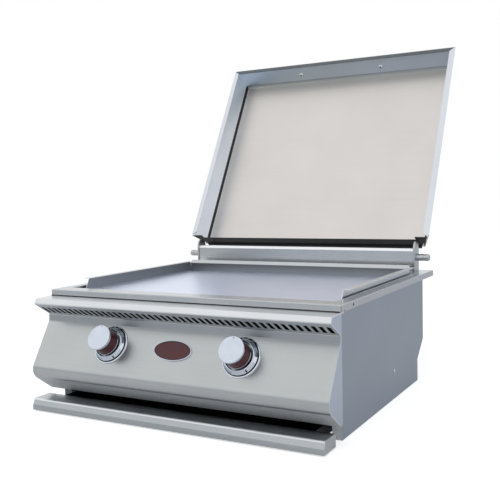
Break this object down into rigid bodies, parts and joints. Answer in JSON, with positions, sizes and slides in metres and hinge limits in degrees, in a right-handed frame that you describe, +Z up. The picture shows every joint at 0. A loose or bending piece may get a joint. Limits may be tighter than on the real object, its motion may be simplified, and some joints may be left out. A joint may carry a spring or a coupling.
{
  "type": "drop-in flat top grill",
  "caption": "Drop-in flat top grill: folded steel body with a flush deck, recessed griddle plate with splash walls, hinged lid, push-and-turn knobs and a slide-out drip tray.",
  "frame": {"origin": "on the counter top, in the middle of the ledge that rests on the counter behind the body", "axes": "+Z up, +Y to the rear, +X to the right as seen from the front"},
  "size_m": [0.662, 0.9501, 0.806],
  "materials": {
    "side_steel": "vertical brushed stainless sheet",
    "panel_steel": "brushed stainless sheet, grain along the width",
    "bright_steel": "bright brushed stainless sheet",
    "lid_steel": "fine brushed stainless sheet",
    "griddle_steel": "ground steel cooking surface",
    "inner_steel": "mill finish sheet",
    "chrome": "polished chrome",
    "maroon": "dark maroon gloss",
    "emblem": "maroon enamel with a silver rim",
    "brass": "machined brass",
    "ceramic": "white ceramic, matte",
    "rubber": "black rubber"
  },
  "bodies": {
    "body": {"side_panel_left": "side_steel", "side_panel_right": "side_steel", "back_panel": "side_steel", "panel_end_left": "side_steel", "panel_end_right": "side_steel", "control_panel": "panel_steel", "hinge_riser": "panel_steel", "hinge_ear_left": "panel_steel", "hinge_ear_right": "panel_steel", "hinge_rod": "panel_steel", "deck_frame": "bright_steel", "splash_left": "bright_steel", "splash_right": "bright_steel", "splash_back": "bright_steel", "griddle_plate": "griddle_steel", "firebox_floor": "inner_steel", "griddle_rail_left": "inner_steel", "griddle_rail_right": "inner_steel", "burner_left": "inner_steel", "burner_right": "inner_steel", "burner_bar_front": "inner_steel", "burner_bar_rear": "inner_steel", "grease_chute": "inner_steel", "tray_runner_left": "inner_steel", "tray_runner_right": "inner_steel", "bezel_left": "chrome", "bezel_right": "chrome", "side_screw_left": "chrome", "side_screw_right": "chrome", "emblem_plate": "emblem", "gas_manifold": "brass", "gas_feed_pipe": "brass", "gas_inlet": "brass", "gas_valve_left": "brass", "gas_valve_right": "brass", "igniter_left": "ceramic", "igniter_right": "ceramic", "lid_rest_left": "rubber", "lid_rest_right": "rubber"},
    "lid": {"lid_shell": "lid_steel", "lid_arm_left": "panel_steel", "lid_arm_right": "panel_steel", "lid_handle": "bright_steel", "handle_screw_left": "chrome", "handle_screw_right": "chrome"},
    "tray": {"drip_tray": "inner_steel", "tray_front": "bright_steel", "tray_end_left": "bright_steel", "tray_end_right": "bright_steel"},
    "knob_push_left": {"stem_collar_left": "brass"},
    "knob_left": {"valve_stem_left": "brass", "knob_core_left": "chrome", "knob_grip_left": "maroon", "knob_cap_left": "chrome"},
    "knob_push_right": {"stem_collar_right": "brass"},
    "knob_right": {"valve_stem_right": "brass", "knob_core_right": "chrome", "knob_grip_right": "maroon", "knob_cap_right": "chrome"}
  },
  "joints": [
    {"name": "lid_hinge", "type": "hinge", "parent": "body", "child": "lid", "pos_m": [0, -0.0093, 0.046], "axis": [1, 0, 0], "range_deg": [0, 119.2]},
    {"name": "tray_slide", "type": "slide", "parent": "body", "child": "tray", "axis": [0, -1, 0], "range_m": [0, 0.4]},
    {"name": "knob_push_left", "type": "slide", "parent": "body", "child": "knob_push_left", "axis": [0, 0.8572, -0.515], "range_m": [0, 0.004], "stiffness_N_per_m": 1500, "springref_m": -0.002},
    {"name": "knob_turn_left", "type": "hinge", "parent": "knob_push_left", "child": "knob_left", "pos_m": [-0.148, -0.58888, -0.08709], "axis": [0, -0.8572, 0.515], "range_deg": [0, 240]},
    {"name": "knob_push_right", "type": "slide", "parent": "body", "child": "knob_push_right", "axis": [0, 0.8572, -0.515], "range_m": [0, 0.004], "stiffness_N_per_m": 1500, "springref_m": -0.002},
    {"name": "knob_turn_right", "type": "hinge", "parent": "knob_push_right", "child": "knob_right", "pos_m": [0.148, -0.58888, -0.08709], "axis": [0, -0.8572, 0.515], "range_deg": [0, 240]}
  ]
}
